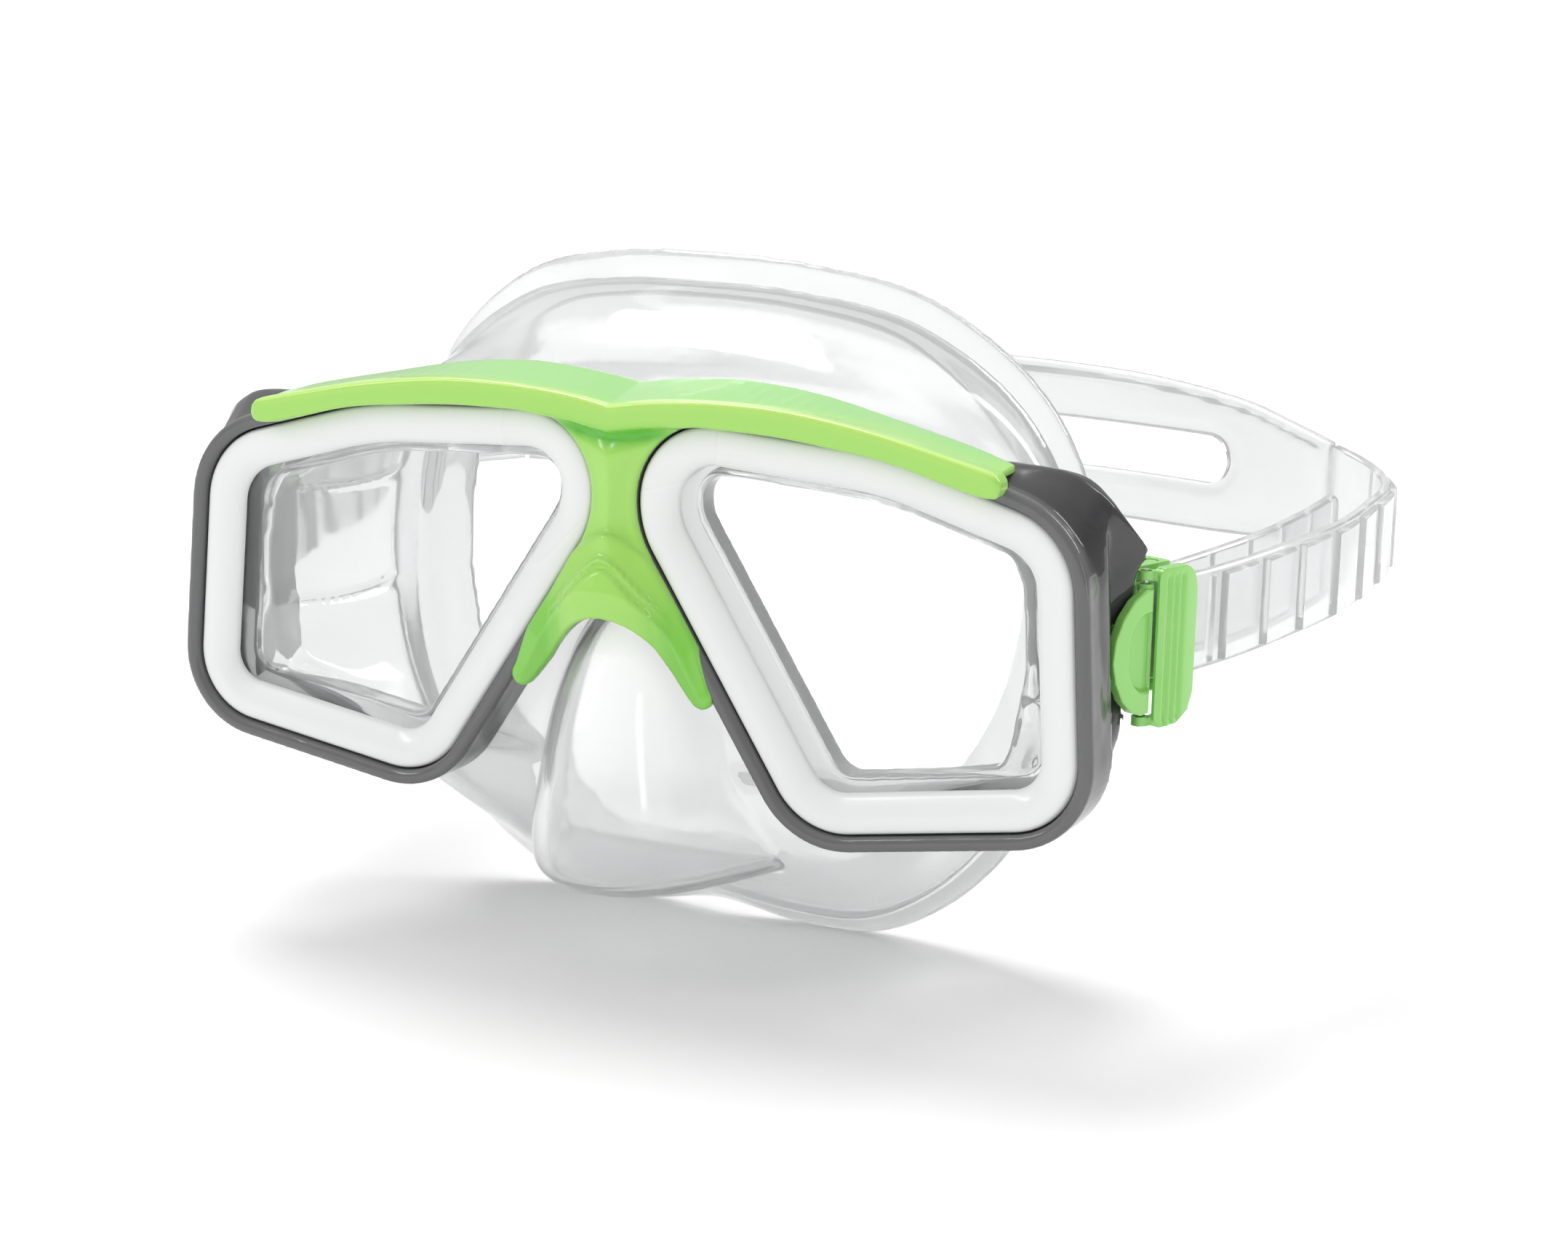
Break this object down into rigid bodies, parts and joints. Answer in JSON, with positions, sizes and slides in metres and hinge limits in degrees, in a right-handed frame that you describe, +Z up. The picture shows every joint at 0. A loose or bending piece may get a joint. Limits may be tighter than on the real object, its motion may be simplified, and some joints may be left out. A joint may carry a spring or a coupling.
{
  "type": "diving mask",
  "caption": "Two-lens diving mask with a clear face skirt and nose pocket, framed lenses, swivel buckles with release levers, and a clear ribbed head strap with a split back band.",
  "frame": {"origin": "bottom centre of the whole mask's box, under its middle plane, at the height of the lowest edge of the face skirt", "axes": "+X is the wearer's left, +Y runs back from the lenses to the head strap, +Z is up"},
  "size_m": [0.1886, 0.1434, 0.111],
  "materials": {
    "smoke_frame": "glossy translucent smoke polycarbonate, grey at its thin front edge",
    "white_bezel": "smooth glossy white moulded plastic",
    "green_trim": "glossy translucent lime green moulded plastic",
    "green_buckle": "satin translucent green moulded plastic",
    "clear_silicone": "clear liquid silicone, glossy outside and frosted at the seal",
    "lens_glass": "clear flat tempered glass",
    "steel_pin": "drawn stainless steel pin"
  },
  "bodies": {
    "mask": {"frame": "smoke_frame", "brow_bridge_trim": "green_trim", "face_skirt": "clear_silicone", "lens_bezel_left": "white_bezel", "lens_bezel_right": "white_bezel", "lens_left": "lens_glass", "lens_right": "lens_glass", "strap_back_band": "clear_silicone", "strap_side_left": "clear_silicone", "strap_side_right": "clear_silicone", "strap_tail_left": "clear_silicone", "strap_tail_right": "clear_silicone"},
    "buckle_left": {"buckle_base_left": "green_buckle", "lever_pin_left": "steel_pin", "strap_loop_left": "clear_silicone"},
    "lever_left": {"buckle_lever_left": "green_buckle"},
    "roller_left": {"strap_roller_left": "green_buckle"},
    "buckle_right": {"buckle_base_right": "green_buckle", "lever_pin_right": "steel_pin", "strap_loop_right": "clear_silicone"},
    "lever_right": {"buckle_lever_right": "green_buckle"},
    "roller_right": {"strap_roller_right": "green_buckle"}
  },
  "joints": [
    {"name": "left_buckle_swivel", "type": "hinge", "parent": "mask", "child": "buckle_left", "pos_m": [0.07197, -0.04684, 0.05969], "axis": [0, 0, -1], "range_deg": [0, 8]},
    {"name": "left_release_lever", "type": "hinge", "parent": "buckle_left", "child": "lever_left", "pos_m": [0.07833, -0.04298, 0.05939], "axis": [0, 0, -1], "range_deg": [0, 35]},
    {"name": "left_strap_roller", "type": "hinge", "parent": "buckle_left", "child": "roller_left", "pos_m": [0.0766, -0.03618, 0.06139], "axis": [0, 0, 1], "continuous": true},
    {"name": "right_buckle_swivel", "type": "hinge", "parent": "mask", "child": "buckle_right", "pos_m": [-0.07197, -0.04684, 0.05969], "axis": [0, 0, 1], "range_deg": [0, 8]},
    {"name": "right_release_lever", "type": "hinge", "parent": "buckle_right", "child": "lever_right", "pos_m": [-0.07833, -0.04298, 0.05939], "axis": [0, 0, 1], "range_deg": [0, 35]},
    {"name": "right_strap_roller", "type": "hinge", "parent": "buckle_right", "child": "roller_right", "pos_m": [-0.0766, -0.03618, 0.06139], "axis": [0, 0, 1], "continuous": true}
  ]
}
